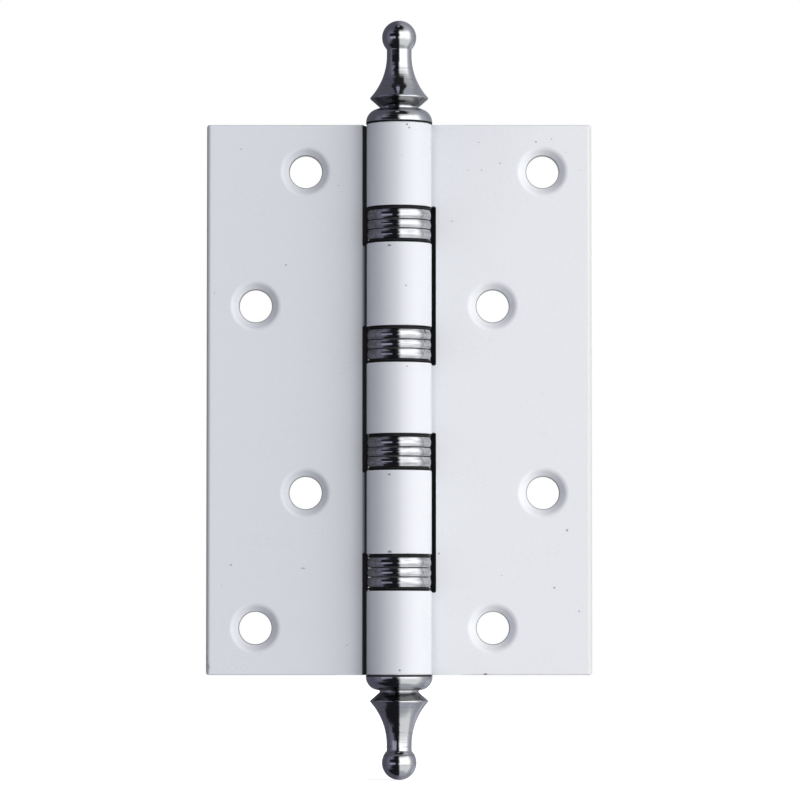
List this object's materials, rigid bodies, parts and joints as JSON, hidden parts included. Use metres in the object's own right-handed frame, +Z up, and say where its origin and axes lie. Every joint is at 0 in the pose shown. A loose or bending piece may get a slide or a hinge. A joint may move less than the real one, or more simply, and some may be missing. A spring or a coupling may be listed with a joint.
{
  "type": "ball bearing butt hinge",
  "caption": "Butt hinge with rolled knuckles, thrust ball bearings between them, a turned finial at each end of the pin and staggered countersunk screw holes.",
  "frame": {"origin": "on the pin's axis, at the middle of its height", "axes": "+Z up along the pin, +X across the frame leaf away from the pin, -Y out of the countersunk faces, both leaves open flat"},
  "size_m": [0.07, 0.012, 0.1378],
  "materials": {
    "white_enamel": "glossy white stove enamel over steel",
    "polished_chrome": "bright polished chrome plate",
    "pin_steel": "ground steel",
    "ball_steel": "polished bearing steel"
  },
  "bodies": {
    "frame_side": {"frame_leaf": "white_enamel", "pin": "pin_steel", "top_finial": "polished_chrome", "bottom_finial": "polished_chrome", "bearing_1_upper_race": "polished_chrome", "bearing_2_lower_race": "polished_chrome", "bearing_3_upper_race": "polished_chrome", "bearing_4_lower_race": "polished_chrome"},
    "door_side": {"door_leaf": "white_enamel", "bearing_1_lower_race": "polished_chrome", "bearing_2_upper_race": "polished_chrome", "bearing_3_lower_race": "polished_chrome", "bearing_4_upper_race": "polished_chrome"},
    "cage_1": {"bearing_1_cage": "polished_chrome", "bearing_1_balls": "ball_steel"},
    "cage_2": {"bearing_2_cage": "polished_chrome", "bearing_2_balls": "ball_steel"},
    "cage_3": {"bearing_3_cage": "polished_chrome", "bearing_3_balls": "ball_steel"},
    "cage_4": {"bearing_4_cage": "polished_chrome", "bearing_4_balls": "ball_steel"}
  },
  "joints": [
    {"name": "leaf_swing", "type": "hinge", "parent": "frame_side", "child": "door_side", "pos_m": [0, 0, 0], "axis": [0, 0, 1], "range_deg": [-90, 180]},
    {"name": "cage_1_roll", "type": "hinge", "parent": "frame_side", "child": "cage_1", "pos_m": [0, 0, 0], "axis": [0, 0, 1], "range_deg": [-45, 90]},
    {"name": "cage_2_roll", "type": "hinge", "parent": "frame_side", "child": "cage_2", "pos_m": [0, 0, 0], "axis": [0, 0, 1], "range_deg": [-45, 90]},
    {"name": "cage_3_roll", "type": "hinge", "parent": "frame_side", "child": "cage_3", "pos_m": [0, 0, 0], "axis": [0, 0, 1], "range_deg": [-45, 90]},
    {"name": "cage_4_roll", "type": "hinge", "parent": "frame_side", "child": "cage_4", "pos_m": [0, 0, 0], "axis": [0, 0, 1], "range_deg": [-45, 90]}
  ],
  "couplings": [
    {"joint": "cage_1_roll", "follows": "leaf_swing", "ratio": 0.5},
    {"joint": "cage_2_roll", "follows": "leaf_swing", "ratio": 0.5},
    {"joint": "cage_3_roll", "follows": "leaf_swing", "ratio": 0.5},
    {"joint": "cage_4_roll", "follows": "leaf_swing", "ratio": 0.5}
  ]
}
